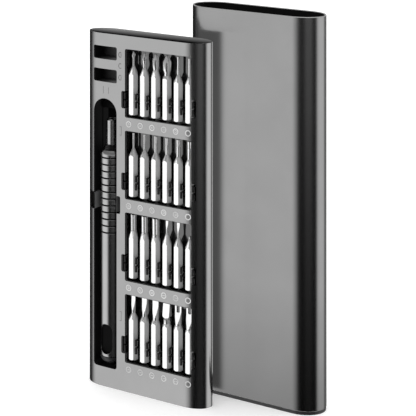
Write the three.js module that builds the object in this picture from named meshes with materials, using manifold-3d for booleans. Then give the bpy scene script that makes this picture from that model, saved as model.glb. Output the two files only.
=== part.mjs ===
// A precision screwdriver set: a bit tray with a two-tone handle and 24 hex-shank bits, and the
// anodised aluminium sleeve that the tray slides into, standing side by side.
// Millimetres, +Z up. The origin is the middle of the tray's bottom face, and the tray faces -Y.
import * as THREE from "three";
import { mergeVertices } from "three/addons/utils/BufferGeometryUtils.js";
import Module from "manifold-3d";

// ---- driving dimensions ----
const CLEAR = 0.15; // gap between a moulding and the wall that holds it
const CUT = 20; // how far a cutter reaches past the metal

const TRAY = { width: 66.1, depth: 13.4, reach: 10.75, height: 162.1, wall: 0.8, top: 1.6 };
const SLEEVE = { width: 68.2, depth: 18.2, reach: 11.9, height: 175, wall: 0.8, x: 44.4, y: 22 };
const FRONT = -TRAY.depth / 2;

const WINDOW = { left: -9.25, right: 26.5, bottom: 13.3, height: 31.2, pitch: 37.2, corner: 0.8 };
const ROWS = 4;
const COLUMNS = 6;
const WELL_FLOOR = -0.9; // the wall behind the bits
const GROOVE_FLOOR = 2.2; // the deeper groove across each well, which holds the rack
const NOTCH = { out: 2.0, bottom: 4.0, height: 7.9 }; // side notches of each window

const POCKET = { left: -27.3, right: -13.8, height: 6.0, bottoms: [139.8, 150.25], floor: 1.4 };
const MAGNET_BLOCK = { width: 7, depth: 2.6, height: 4.4 };

const TROUGH = { x: -20.6, halfWidth: 6.7, bottom: 8.9, top: 132.2, corner: 1.3 };
const TROUGH_BACK = { halfWidth: 6.4, bottom: 9.6, top: 126 };
const CLIP = { bottom: 80.7, height: 7.4, inner: 5.85, thick: 0.4, armTip: -6.1 };
const CLIP_NOTCH = { bottom: 80.4, height: 8.0, left: -31.6, right: -11.9, floor: -1.5 };

const HANDLE = { x: -20.6, y: -0.45, radius: 5.6, bottom: 13.3, top: 107.75 };
const GROOVE = { first: 70.3, pitch: 3.12, count: 12, depth: 0.45, half: 0.42 };
const GRIP_SLOT = { bottom: 13.9, top: 28.8, halfWidth: 3.7, floor: 3.1, inlay: 4.15 };
const COLLAR = { bottom: 107.8, top: 110.2, lower: 4.5, upper: 3.2, bore: 2.95 };
const SOCKET = { bottom: 97, top: 121.8, radius: 2.8, bore: 4.25, boreBottom: 108.5, magnet: 1.8 };
const CAP = { bottom: 10, top: 13.1, pin: 1.5 };

const BIT = { flats: 4, length: 28.9, hex: 18.3, fineHex: 17.3, y: -3.4, lift: 0.9 };
const COLUMN = { first: -6.7, pitch: 6.14 };
const RACK = { finger: 0.76, front: -6.3, head: 0.9, arm: 0.6, tiers: [[4.6, 7.6], [8.2, 11.1]] };

// The push latch at the foot of the sleeve: a sprung plunger with a magnet in its tip, which
// lifts the tray and holds it by a steel plate. The plunger stands out by its whole travel.
const LATCH = { bottom: 3, top: 12.6, lip: 1.5, flange: 3.5, flangeHeight: 1.2, stem: 2.5, travel: 4 };
const TIP_MAGNET = { radius: 1.7, height: 1.5 };
const SPRING = { radius: 2.6, wire: 0.3, turns: 4 };
const STRIKE_PLATE = { width: 14, depth: 8, height: 0.8 };

// ---- colours ----
const GREY_ANODISED = { color: 0x6f7072, roughness: 0.45, metalness: 0.9 };
const TRAY_FACE = { color: 0x9a9b9d, roughness: 0.5, metalness: 0.8 };
const BLACK_GLOSS = { color: 0x0a0a0b, roughness: 0.15, metalness: 0 };
const BLACK_MATTE = { color: 0x161617, roughness: 0.6, metalness: 0 };
const HANDLE_GREY = { color: 0x4b4c4e, roughness: 0.4, metalness: 0.9 };
const STEEL = { color: 0xd9dadc, roughness: 0.2, metalness: 1 };
const MAGNET = { color: 0x8c8d90, roughness: 0.35, metalness: 1 };

// ---- solids ----
const wasm = await Module();
wasm.setup();
const group = new THREE.Group();

function solid(geometry) {
  const bare = geometry.clone();
  bare.deleteAttribute("normal");
  bare.deleteAttribute("uv");
  const merged = mergeVertices(bare, 1e-4);
  return new wasm.Manifold(
    new wasm.Mesh({
      numProp: 3,
      vertProperties: merged.attributes.position.array,
      triVerts: new Uint32Array(merged.index.array),
    }),
  );
}

function join(...pieces) {
  return pieces.reduce((sum, piece) => sum.add(piece));
}

function cut(body, ...pieces) {
  return pieces.reduce((left, piece) => left.subtract(piece), body);
}

function addMesh(name, body, look, place = [0, 0, 0]) {
  const made = body.getMesh();
  const geometry = new THREE.BufferGeometry();
  geometry.setAttribute("position", new THREE.BufferAttribute(made.vertProperties, 3));
  geometry.setIndex(new THREE.BufferAttribute(made.triVerts, 1));
  geometry.computeVertexNormals();
  const mesh = new THREE.Mesh(geometry, new THREE.MeshStandardMaterial(look));
  mesh.name = name;
  mesh.position.set(...place);
  group.add(mesh);
}

// ---- shapes ----
function box(left, right, front, back, bottom, top) {
  const made = new THREE.BoxGeometry(right - left, back - front, top - bottom);
  made.translate((left + right) / 2, (front + back) / 2, (bottom + top) / 2);
  return solid(made);
}

// An outline in plan, raised from bottom to top.
function raise(shape, bottom, top, curveSegments = 8) {
  const made = new THREE.ExtrudeGeometry(shape, {
    depth: top - bottom,
    bevelEnabled: false,
    curveSegments,
  });
  made.translate(0, 0, bottom);
  return solid(made);
}

// An outline seen from the front (x, z), carried from the front plane to the back plane.
function throughFront(shape, front, back, curveSegments = 2) {
  const made = new THREE.ExtrudeGeometry(shape, {
    depth: back - front,
    bevelEnabled: false,
    curveSegments,
  });
  made.rotateX(Math.PI / 2);
  made.translate(0, back, 0);
  return solid(made);
}

// An outline seen from the right (y, z), carried across a width either side of the middle.
function throughSide(shape, halfWidth) {
  const made = new THREE.ExtrudeGeometry(shape, { depth: 2 * halfWidth, bevelEnabled: false });
  made.rotateX(Math.PI / 2);
  made.rotateZ(Math.PI / 2);
  made.translate(-halfWidth, 0, 0);
  return solid(made);
}

// A profile of [radius, z] points turned about the Z axis.
function turn(profile, segments = 20) {
  const points = profile.map(([radius, z]) => new THREE.Vector2(radius, z));
  const made = new THREE.LatheGeometry(points, segments);
  made.rotateX(Math.PI / 2);
  return solid(made);
}

function rod(radius, bottom, top, segments = 20) {
  return turn([[0, bottom], [radius, bottom], [radius, top], [0, top]], segments);
}

// Two flat faces joined by half-ellipse ends, made smaller all round by inset.
function roundEnded({ width, depth, reach }, inset = 0, x = 0, y = 0) {
  const flat = width / 2 - reach;
  const across = reach - inset;
  const half = depth / 2 - inset;
  const shape = new THREE.Shape();
  shape.absellipse(x + flat, y, across, half, -Math.PI / 2, Math.PI / 2, false);
  shape.absellipse(x - flat, y, across, half, Math.PI / 2, (3 * Math.PI) / 2, false);
  shape.closePath();
  return shape;
}

function roundedBox(left, right, bottom, top, radius) {
  const shape = new THREE.Shape();
  shape.absarc(right - radius, bottom + radius, radius, -Math.PI / 2, 0, false);
  shape.absarc(right - radius, top - radius, radius, 0, Math.PI / 2, false);
  shape.absarc(left + radius, top - radius, radius, Math.PI / 2, Math.PI, false);
  shape.absarc(left + radius, bottom + radius, radius, Math.PI, (3 * Math.PI) / 2, false);
  shape.closePath();
  return shape;
}

function polygon(points) {
  return new THREE.Shape(points.map(([x, y]) => new THREE.Vector2(x, y)));
}

// A regular outline of count corners; with an inner radius it is a star.
function star(count, outer, inner, turned = 0) {
  const steps = inner ? 2 * count : count;
  const points = [];
  for (let i = 0; i < steps; i++) {
    const radius = inner && i % 2 ? inner : outer;
    const angle = turned + (2 * Math.PI * i) / steps;
    points.push([radius * Math.cos(angle), radius * Math.sin(angle)]);
  }
  return polygon(points);
}

function hexagon(flats) {
  return star(6, flats / Math.sqrt(3), 0);
}

// ---- the tray's openings, as seen from the front ----
function rowBottom(row) {
  return WINDOW.bottom + (ROWS - 1 - row) * WINDOW.pitch;
}

function rows(make) {
  return Array.from({ length: ROWS }, (_, row) => make(rowBottom(row), row));
}

function windowCutter(bottom, back, notchBack = back) {
  const { left, right, height, corner } = WINDOW;
  const opening = throughFront(roundedBox(left, right, bottom, bottom + height, corner), -CUT, back);
  const low = bottom + NOTCH.bottom;
  const sides = roundedBox(left - NOTCH.out, right + NOTCH.out, low, low + NOTCH.height, corner);
  return join(opening, throughFront(sides, -CUT, notchBack));
}

function pocketCutter(bottom, back) {
  const shape = roundedBox(POCKET.left, POCKET.right, bottom, bottom + POCKET.height, WINDOW.corner);
  return throughFront(shape, -CUT, back);
}

function troughShape() {
  const { x, halfWidth, bottom, top, corner } = TROUGH;
  const across = halfWidth - corner;
  const low = bottom + corner;
  const shape = new THREE.Shape();
  shape.absarc(x + across, low, corner, -Math.PI / 2, 0, false);
  shape.absarc(x, top - halfWidth, halfWidth, 0, Math.PI, false);
  shape.absarc(x - across, low, corner, Math.PI, (3 * Math.PI) / 2, false);
  shape.closePath();
  return shape;
}

function clipNotchCutter() {
  const { bottom, height, left, right, floor } = CLIP_NOTCH;
  return throughFront(roundedBox(left, right, bottom, bottom + height, WINDOW.corner), -CUT, floor);
}

// ---- sleeve ----
const SLEEVE_CAP_TOP = 1.4;
const GUIDE = { halfWidth: 18, thick: 1.1, bottom: 20, top: 168 };
const FLANGE_TOP = LATCH.top - LATCH.lip - 0.2; // where the flange stops under the lip

function inSleeve(inset) {
  return roundEnded(SLEEVE, inset, SLEEVE.x, SLEEVE.y);
}

function onSleeveAxis(body) {
  return body.translate([SLEEVE.x, SLEEVE.y, 0]);
}

function sleeveTube() {
  const outside = raise(inSleeve(0), SLEEVE_CAP_TOP + 0.1, SLEEVE.height);
  const inside = raise(inSleeve(SLEEVE.wall), -CUT, SLEEVE.height + CUT);
  return cut(outside, inside);
}

function sleeveEndCap() {
  const flange = raise(inSleeve(0.25), 0, SLEEVE_CAP_TOP);
  const plug = raise(inSleeve(SLEEVE.wall + CLEAR), SLEEVE_CAP_TOP - 0.2, LATCH.bottom - 0.1);
  return join(flange, plug);
}

// The housing fills the foot of the sleeve, so the tray stops level with the sleeve's rim.
function latchHousing() {
  const { bottom, top, lip, flange, stem } = LATCH;
  const block = raise(inSleeve(SLEEVE.wall + 0.3), bottom, top);
  const chamber = rod(flange + 0.2, bottom + 1, top - lip, 16);
  const mouth = rod(stem + 0.2, bottom + 1, top + CUT, 16);
  return cut(block, onSleeveAxis(chamber), onSleeveAxis(mouth));
}

function latchPlunger() {
  const { top, travel, flange, flangeHeight, stem } = LATCH;
  const foot = rod(flange, FLANGE_TOP - flangeHeight, FLANGE_TOP, 16);
  const post = rod(stem, FLANGE_TOP - 0.2, top + travel, 16);
  const recess = rod(TIP_MAGNET.radius + CLEAR, top + travel - TIP_MAGNET.height - 0.2, CUT, 16);
  return onSleeveAxis(cut(join(foot, post), recess));
}

function tipMagnet() {
  const top = LATCH.top + LATCH.travel;
  return onSleeveAxis(rod(TIP_MAGNET.radius, top - TIP_MAGNET.height - 0.05, top - 0.05, 16));
}

// A helix between the chamber's floor and the plunger's flange.
function latchSpring() {
  const { radius, wire, turns } = SPRING;
  const low = LATCH.bottom + 1.1 + wire;
  const high = FLANGE_TOP - LATCH.flangeHeight - 0.1 - wire;
  const points = [];
  const steps = turns * 8;
  for (let i = 0; i <= steps; i++) {
    const angle = (2 * Math.PI * turns * i) / steps;
    const z = low + ((high - low) * i) / steps;
    points.push(new THREE.Vector3(radius * Math.cos(angle), radius * Math.sin(angle), z));
  }
  const section = new THREE.Shape();
  section.absarc(0, 0, wire, 0, 2 * Math.PI, false);
  const coil = new THREE.ExtrudeGeometry(section, {
    steps,
    curveSegments: 3,
    extrudePath: new THREE.CatmullRomCurve3(points),
  });
  return onSleeveAxis(solid(coil));
}

function guideStrip(side) {
  const wall = SLEEVE.depth / 2 - SLEEVE.wall;
  const near = SLEEVE.y + side * (wall - 0.05);
  const far = near - side * GUIDE.thick;
  const left = SLEEVE.x - GUIDE.halfWidth;
  const right = SLEEVE.x + GUIDE.halfWidth;
  return box(left, right, Math.min(near, far), Math.max(near, far), GUIDE.bottom, GUIDE.top);
}

addMesh("sleeve_tube", sleeveTube(), GREY_ANODISED);
addMesh("sleeve_end_cap", sleeveEndCap(), BLACK_MATTE);
addMesh("sleeve_front_guide", guideStrip(-1), BLACK_MATTE);
addMesh("sleeve_rear_guide", guideStrip(1), BLACK_MATTE);
addMesh("latch_housing", latchHousing(), BLACK_MATTE);
addMesh("latch_plunger", latchPlunger(), BLACK_MATTE);
addMesh("latch_magnet", tipMagnet(), MAGNET);
addMesh("latch_spring", latchSpring(), STEEL);

// ---- tray ----
const PLUG_TOP = 3.6;

function trayShell() {
  const outside = raise(roundEnded(TRAY), 0, TRAY.height);
  const inside = raise(roundEnded(TRAY, TRAY.wall), -CUT, TRAY.height - TRAY.top);
  const behindFace = FRONT + 3.2;
  return cut(
    outside,
    inside,
    ...rows((bottom) => windowCutter(bottom, behindFace)),
    ...POCKET.bottoms.map((bottom) => pocketCutter(bottom, behindFace)),
    throughFront(troughShape(), -CUT, behindFace, 8),
    clipNotchCutter(),
  );
}

// A block behind each pocket, made larger all round by grow.
function pocketMagnet(bottom, grow = 0) {
  const x = (POCKET.left + POCKET.right) / 2;
  const z = bottom + POCKET.height / 2;
  const halfWidth = MAGNET_BLOCK.width / 2 + grow;
  const halfHeight = MAGNET_BLOCK.height / 2 + grow;
  const front = POCKET.floor + 1 - grow;
  const back = front + MAGNET_BLOCK.depth + (grow ? CUT : 0);
  return box(x - halfWidth, x + halfWidth, front, back, z - halfHeight, z + halfHeight);
}

// The moulding that fills the shell, with a well behind each opening of the face.
function trayLiner() {
  const section = roundEnded(TRAY, TRAY.wall + CLEAR);
  const body = raise(section, PLUG_TOP + 0.1, TRAY.height - TRAY.top - 0.1);
  const [left, right] = [TROUGH.x - TROUGH_BACK.halfWidth, TROUGH.x + TROUGH_BACK.halfWidth];
  return cut(
    body,
    ...rows((low) => windowCutter(low, WELL_FLOOR, GROOVE_FLOOR)),
    ...POCKET.bottoms.map((low) => pocketCutter(low, POCKET.floor)),
    ...POCKET.bottoms.map((low) => pocketMagnet(low, CLEAR)),
    throughFront(troughShape(), -CUT, 1, 8),
    box(left, right, 0, CUT, TROUGH_BACK.bottom, TROUGH_BACK.top),
    clipNotchCutter(),
  );
}

function strikePlate(grow = 0) {
  const { width, depth, height } = STRIKE_PLATE;
  const halfWidth = width / 2 + grow;
  const halfDepth = depth / 2 + grow;
  return box(-halfWidth, halfWidth, -halfDepth, halfDepth, grow ? -CUT : 0, height + grow);
}

function trayBottomPlug() {
  return cut(raise(roundEnded(TRAY, TRAY.wall + CLEAR), 0, PLUG_TOP), strikePlate(CLEAR));
}

// One comb for each row of bits: a bar in the groove, and two tiers of hooked fingers that
// reach forward between the bits and turn down at the front.
function bitRack(bottom) {
  const { finger, front, head, arm, tiers } = RACK;
  const left = WINDOW.left - NOTCH.out + 0.3;
  const right = WINDOW.right + NOTCH.out - 0.3;
  const low = bottom + NOTCH.bottom + 0.3;
  const barFront = WELL_FLOOR + 0.1;
  const bar = box(left, right, barFront, GROOVE_FLOOR - 0.1, low, low + NOTCH.height - 0.6);
  const fingers = [];
  for (let i = 0; i <= COLUMNS; i++) {
    const x = COLUMN.first + (i - 0.5) * COLUMN.pitch;
    for (const [from, to] of tiers) {
      const [west, east, top] = [x - finger / 2, x + finger / 2, bottom + to];
      fingers.push(box(west, east, front, barFront + 0.2, top - arm, top));
      fingers.push(box(west, east, front, front + head, bottom + from, top));
    }
  }
  return join(bar, ...fingers);
}

// A spring clip, U-shaped in plan, that holds the handle by its waist.
function handleClip() {
  const { inner, thick, armTip, bottom, height } = CLIP;
  const outer = inner + thick;
  const shape = new THREE.Shape();
  shape.moveTo(outer, armTip);
  shape.absarc(0, 0, outer, 0, Math.PI, false);
  shape.lineTo(-outer, armTip);
  shape.lineTo(-inner, armTip);
  shape.absarc(0, 0, inner, Math.PI, 0, true);
  shape.lineTo(inner, armTip);
  return raise(shape, bottom, bottom + height).translate([HANDLE.x, HANDLE.y, 0]);
}

addMesh("tray_shell", trayShell(), TRAY_FACE);
addMesh("tray_liner", trayLiner(), BLACK_GLOSS);
addMesh("tray_bottom_plug", trayBottomPlug(), BLACK_MATTE);
rows((bottom, row) => addMesh(`bit_rack_${row + 1}`, bitRack(bottom), BLACK_GLOSS));
addMesh("handle_clip", handleClip(), MAGNET);
for (const [name, bottom] of [["lower", POCKET.bottoms[0]], ["upper", POCKET.bottoms[1]]]) {
  addMesh(`pocket_magnet_${name}`, pocketMagnet(bottom), MAGNET);
}
addMesh("strike_plate", strikePlate(), STEEL);

// ---- handle, turned about its own axis ----
const ON_HANDLE_AXIS = [HANDLE.x, HANDLE.y, 0];
const HANDLE_SEGMENTS = 20;

function gripProfile() {
  const { radius, bottom, top } = HANDLE;
  const points = [[0, bottom], [radius - 0.3, bottom], [radius, bottom + 0.3]];
  for (let i = 0; i < GROOVE.count; i++) {
    const z = GROOVE.first + i * GROOVE.pitch;
    points.push([radius, z - GROOVE.half], [radius - GROOVE.depth, z], [radius, z + GROOVE.half]);
  }
  points.push([radius, top - 1.6], [COLLAR.lower, top], [0, top]);
  return points;
}

function gripSlotCutter() {
  const { bottom, top, halfWidth, floor } = GRIP_SLOT;
  return throughFront(roundedBox(-halfWidth, halfWidth, bottom, top, halfWidth - 0.05), -CUT, -floor, 3);
}

function handleBody() {
  return cut(
    turn(gripProfile(), HANDLE_SEGMENTS),
    gripSlotCutter(),
    rod(SOCKET.radius + CLEAR, SOCKET.bottom - CLEAR, CUT + HANDLE.top),
    rod(CAP.pin + CLEAR, 0, CAP.top + 6.3, 16),
  );
}

function gripInlay() {
  const { bottom, top, halfWidth, floor, inlay } = GRIP_SLOT;
  const shape = roundedBox(
    -halfWidth + CLEAR,
    halfWidth - CLEAR,
    bottom + CLEAR,
    top - CLEAR,
    halfWidth - CLEAR - 0.05,
  );
  return throughFront(shape, -inlay, -floor - 0.1, 3);
}

function handleCollar() {
  const { bottom, top, lower, upper, bore } = COLLAR;
  return turn([[bore, bottom], [lower, bottom], [upper, top], [bore, top], [bore, bottom]]);
}

function bitSocket() {
  const { bottom, top, radius, bore, boreBottom, magnet } = SOCKET;
  const outside = turn([[0, bottom], [radius, bottom], [radius, top - 0.5], [radius - 0.5, top], [0, top]]);
  const magnetSeat = rod(magnet + 0.1, boreBottom - 3.2, top);
  return cut(outside, raise(hexagon(bore), boreBottom, top + CUT), magnetSeat);
}

function socketMagnet() {
  return rod(SOCKET.magnet, SOCKET.boreBottom - 3, SOCKET.boreBottom - 0.2, 16);
}

function swivelCap() {
  const { bottom, top, pin } = CAP;
  const { radius } = HANDLE;
  const dome = turn([
    [0, bottom],
    [radius - 2.6, bottom],
    [radius - 1.1, bottom + 0.5],
    [radius - 0.3, bottom + 1.4],
    [radius, bottom + 2.6],
    [radius, top],
    [0, top],
  ]);
  return cut(dome, rod(pin + CLEAR, bottom + 1, top + 1, 16));
}

addMesh("handle_body", handleBody(), HANDLE_GREY, ON_HANDLE_AXIS);
addMesh("handle_inlay", gripInlay(), BLACK_MATTE, ON_HANDLE_AXIS);
addMesh("handle_collar", handleCollar(), BLACK_MATTE, ON_HANDLE_AXIS);
addMesh("bit_socket", bitSocket(), STEEL, ON_HANDLE_AXIS);
addMesh("socket_magnet", socketMagnet(), MAGNET, ON_HANDLE_AXIS);
addMesh("swivel_cap", swivelCap(), BLACK_MATTE, ON_HANDLE_AXIS);
addMesh("cap_pin", rod(CAP.pin, CAP.bottom + 1.2, CAP.top + 6, 16), STEEL, ON_HANDLE_AXIS);

// ---- bits ----
const SHANK_SEGMENTS = 12;

// The hexagonal drive, chamfered at its foot and coned down to the shank.
function bitDrive(shank, cone, hex) {
  const wide = BIT.flats / Math.sqrt(3) + 0.02;
  const coneTop = hex + cone;
  const prism = raise(hexagon(BIT.flats), 0, coneTop);
  const envelope = turn(
    [[0, 0], [wide - 0.5, 0], [wide, 0.6], [wide, hex], [shank, coneTop], [0, coneTop]],
    SHANK_SEGMENTS,
  );
  return prism.intersect(envelope);
}

// Each tip stands on z = 0, with the shank's radius at its foot, and ends at z = length.
const TIPS = {
  // Four flutes in a coned end.
  cross(shank, length, radius) {
    const flare = length * 0.25;
    const shoulder = length - radius * 1.5;
    const end = radius * 0.25;
    const cone = turn(
      [[0, 0], [shank, 0], [radius, flare], [radius, shoulder], [end, length], [0, length]],
      SHANK_SEGMENTS,
    );
    const keep = radius * 0.3;
    const wide = radius * 2;
    const flutes = [0, 1, 2, 3].map((quarter) => {
      const flute = polygon([[keep, keep], [wide, keep], [wide, wide], [keep, wide]]);
      return raise(flute, flare, length + 1).rotate([0, 0, 45 + 90 * quarter]);
    });
    return cut(cone, ...flutes);
  },
  // A six-pointed star drive.
  star(shank, length) {
    return raise(star(6, shank, shank * 0.72), 0, length);
  },
  // A plain hexagon key.
  hex(shank, length) {
    return raise(star(6, shank, 0), 0, length);
  },
  // A screwdriver blade, thinned to its edge and spread to its width.
  slotted(shank, length, halfWidth, edge) {
    const round = turn([[0, 0], [shank, 0], [halfWidth, length], [0, length]], SHANK_SEGMENTS);
    const thick = shank + 0.05;
    const wedge = polygon([[-thick, -1], [thick, -1], [edge, length + 0.01], [-edge, length + 0.01]]);
    return round.intersect(throughSide(wedge, halfWidth + 1));
  },
  // A blade with a gap in the middle of its edge.
  fork(shank, length, halfWidth, edge, gap, depth) {
    const notch = box(-gap, gap, -CUT, CUT, length - depth, length + 1);
    return cut(TIPS.slotted(shank, length, halfWidth, edge), notch);
  },
};

// Tip kind, shank radius, length of the cone, length of the tip, and the tip's own sizes.
const BITS = [
  [
    ["cross", 0.5, 4.3, 2.7, 0.85],
    ["cross", 0.75, 3.9, 5, 1.05],
    ["cross", 1.15, 3.6, 7, 1.45],
    ["cross", 1.3, 1.6, 7.5, 1.9],
    ["hex", 0.6, 3.8, 4],
    ["hex", 0.75, 3.6, 4],
  ],
  [
    ["star", 0.48, 3.9, 3],
    ["star", 0.53, 3.8, 3],
    ["star", 0.68, 3.5, 3],
    ["star", 0.8, 3.3, 3],
    ["star", 0.95, 3.1, 3],
    ["star", 1.15, 2.8, 3],
  ],
  [
    ["star", 1.3, 3.4, 7.3],
    ["star", 1.45, 3, 7.3],
    ["star", 1.65, 2.5, 7.3],
    ["slotted", 0.45, 5.2, 4, 0.62, 0.12],
    ["slotted", 0.45, 4.2, 5, 0.75, 0.14],
    ["slotted", 0.5, 4.5, 5, 0.95, 0.16],
  ],
  [
    ["slotted", 0.95, 3, 6.5, 1.02, 0.2],
    ["slotted", 1.1, 2.5, 7, 1.3, 0.25],
    ["slotted", 1.4, 2, 7.5, 1.6, 0.3],
    ["slotted", 1.6, 1.6, 6.6, 1.75, 0.45],
    ["fork", 1.5, 2, 8, 1.7, 0.3, 0.87, 2.9],
    ["fork", 1.72, 1.4, 9, 1.72, 0.35, 0.8, 2.6],
  ],
];

function makeBit([kind, shank, cone, tipLength, ...shape]) {
  const hex = kind === "hex" ? BIT.fineHex : BIT.hex;
  const coneTop = hex + cone;
  const tipFoot = BIT.length - tipLength;
  const drive = bitDrive(shank, cone, hex);
  const tip = TIPS[kind](shank, tipLength, ...shape).translate([0, 0, tipFoot]);
  const shaft = rod(shank, coneTop - 0.3, tipFoot + 0.05, SHANK_SEGMENTS);
  return join(drive, shaft, tip);
}

rows((bottom, row) =>
  BITS[row].forEach((bit, column) => {
    const place = [COLUMN.first + column * COLUMN.pitch, BIT.y, bottom + BIT.lift];
    addMesh(`bit_${row + 1}${column + 1}_${bit[0]}`, makeBit(bit), STEEL, place);
  }),
);

export default group;
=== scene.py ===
"""The visual model of a precision screwdriver set: a bit tray and the sleeve that it slides into.

Lengths are given in millimetres, and new_object() turns them into metres. Each piece lies in its
place in the CAD frame, +Z up with the front toward -Y, and rides on one of the CAD bodies.
"""

import math
import bmesh
import bpy
from mathutils import Matrix, Vector


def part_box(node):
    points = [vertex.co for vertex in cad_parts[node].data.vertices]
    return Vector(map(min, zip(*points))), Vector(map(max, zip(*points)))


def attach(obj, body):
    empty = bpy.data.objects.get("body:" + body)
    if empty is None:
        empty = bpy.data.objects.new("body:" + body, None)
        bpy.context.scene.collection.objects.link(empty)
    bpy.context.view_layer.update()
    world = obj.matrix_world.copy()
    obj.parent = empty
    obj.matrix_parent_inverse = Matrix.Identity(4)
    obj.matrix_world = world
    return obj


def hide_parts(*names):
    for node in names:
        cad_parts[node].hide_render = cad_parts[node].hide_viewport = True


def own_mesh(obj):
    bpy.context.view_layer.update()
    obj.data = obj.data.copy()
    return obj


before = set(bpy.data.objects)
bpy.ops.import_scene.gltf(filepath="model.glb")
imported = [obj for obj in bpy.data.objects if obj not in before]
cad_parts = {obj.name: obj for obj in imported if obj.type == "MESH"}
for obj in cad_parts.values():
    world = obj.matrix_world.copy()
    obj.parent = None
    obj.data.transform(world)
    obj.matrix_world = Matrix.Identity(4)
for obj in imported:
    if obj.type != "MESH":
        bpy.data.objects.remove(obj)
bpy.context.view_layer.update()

MM = 0.001
TRAY, SLEEVE, HANDLE, CAP = "tray", "sleeve", "handle", "swivel_cap"
METAL, RIM, DARK = 0, 1, 2  # the order of the materials on the aluminium pieces
FAR = 20  # how far a cutter reaches past what it cuts

# ---------------------------------------------------------------- sizes
WALL = 0.8
CORNER = 0.8  # the rounding of the openings in the tray's face

TRAY_WIDTH, TRAY_DEPTH, TRAY_HEIGHT, TRAY_REACH = 66.1, 13.4, 162.1, 10.75
TRAY_TOP = 1.6
FRONT = -TRAY_DEPTH / 2
CUT_BACK = FRONT + 3.2

ROWS, COLUMNS, ROW_LOWEST, ROW_PITCH = 4, 6, 13.3, 37.2
ROW_BOTTOMS = [ROW_LOWEST + ROW_PITCH * (ROWS - 1 - row) for row in range(ROWS)]
WINDOW_LEFT, WINDOW_RIGHT, WINDOW_HEIGHT = -9.25, 26.5, 31.2
NOTCH_OUT, NOTCH_BOTTOM, NOTCH_TOP = 2, 4, 11.9
POCKET_LEFT, POCKET_RIGHT, POCKET_HEIGHT = -27.3, -13.8, 6
POCKET_BOTTOMS = (139.8, 150.25)
TROUGH_HALF, TROUGH_BOTTOM, TROUGH_TOP, TROUGH_CORNER = 6.7, 8.9, 132.2, 1.3
CLIP_NOTCH_LEFT, CLIP_NOTCH_RIGHT, CLIP_NOTCH_BACK = -31.6, -11.9, -1.5
CLIP_BOTTOM, CLIP_TOP, CLIP_ROOM = 80.7, 88.1, 0.3

SLEEVE_WIDTH, SLEEVE_DEPTH, SLEEVE_HEIGHT, SLEEVE_REACH = 68.2, 18.2, 175.0, 11.9
SLEEVE_FOOT = 1.5  # where the end cap stops and the tube starts
SLEEVE_AT = (44.4, 22.0)

AXIS = (-20.6, -0.45)  # the handle's own axis
GRIP_RADIUS, GRIP_BOTTOM, GRIP_TOP = 5.6, 13.3, 107.75
GROOVE_FIRST, GROOVE_PITCH, GROOVES, GROOVE_DEPTH = 70.3, 3.12, 12, 0.42
SLOT_HALF, SLOT_BOTTOM, SLOT_TOP = 3.1, 14.5, 28.3
SLOT_FLOOR = 3.1  # how far it lies in front of the axis

BIT_FIRST, BIT_PITCH, BIT_Y, BIT_LIFT = -6.7, 6.14, -3.4, 0.9
BIT_FLATS, BIT_LENGTH, BIT_HEX, FINE_HEX = 4, 28.9, 18.3, 17.3

# Each bit: its kind, the radius of its shank, the length of the cone above its drive, and then
#   cross         the tip's radius and length
#   star          the length of its grooves
#   blade, slab   half the blade's width, half its thickness at the edge, and its length
#   fork          the same three, then half the notch's width, and the notch's depth
BITS = [
    [
        ("cross", 0.5, 4.3, 0.85, 2.7),
        ("cross", 0.75, 3.9, 1.05, 5),
        ("cross", 1.15, 3.6, 1.45, 7),
        ("cross", 1.3, 1.6, 1.9, 7.5),
        ("hex", 0.6, 3.8),
        ("hex", 0.75, 3.6),
    ],
    [
        ("star", 0.48, 3.9, 3),
        ("star", 0.53, 3.8, 3),
        ("star", 0.68, 3.5, 3),
        ("star", 0.8, 3.3, 3),
        ("star", 0.95, 3.1, 3),
        ("star", 1.15, 2.8, 3),
    ],
    [
        ("star", 1.3, 3.6, 7.3),
        ("star", 1.45, 3.0, 7.3),
        ("star", 1.65, 2.5, 7.3),
        ("blade", 0.45, 5.2, 0.62, 0.12, 4),
        ("blade", 0.45, 4.2, 0.75, 0.14, 5),
        ("blade", 0.5, 4.5, 0.95, 0.16, 5),
    ],
    [
        ("blade", 0.95, 3.0, 1.02, 0.2, 6.5),
        ("blade", 1.1, 2.5, 1.3, 0.25, 7),
        ("blade", 1.4, 2.0, 1.6, 0.3, 7.5),
        ("slab", 1.6, 1.6, 1.75, 0.45, 6.6),
        ("fork", 1.5, 2.0, 1.7, 0.3, 8, 0.87, 2.9),
        ("fork", 1.72, 1.4, 1.72, 0.35, 9, 0.8, 2.6),
    ],
]


# ---------------------------------------------------------------- meshes
def new_object(name, verts, faces):
    """A mesh object from points in millimetres."""
    mesh = bpy.data.meshes.new(name)
    mesh.from_pydata([(x * MM, y * MM, z * MM) for x, y, z in verts], [], faces)
    made = bpy.data.objects.new(name, mesh)
    bpy.context.scene.collection.objects.link(made)
    return made


def outward(obj):
    bm = bmesh.new()
    bm.from_mesh(obj.data)
    bmesh.ops.recalc_face_normals(bm, faces=bm.faces)
    bm.to_mesh(obj.data)
    bm.free()
    return obj


def prism(name, outline, low, high, axis="z"):
    """An outline carried from low to high: (x, y) along z, (x, z) along y, or (y, z) along x."""
    place = {
        "z": lambda a, b, c: (a, b, c),
        "y": lambda a, b, c: (a, c, b),
        "x": lambda a, b, c: (c, a, b),
    }[axis]
    n = len(outline)
    verts = [place(a, b, low) for a, b in outline] + [place(a, b, high) for a, b in outline]
    faces = [tuple(range(n)), tuple(range(2 * n - 1, n - 1, -1))]
    faces += [(i, (i + 1) % n, n + (i + 1) % n, n + i) for i in range(n)]
    return outward(new_object(name, verts, faces))


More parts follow.
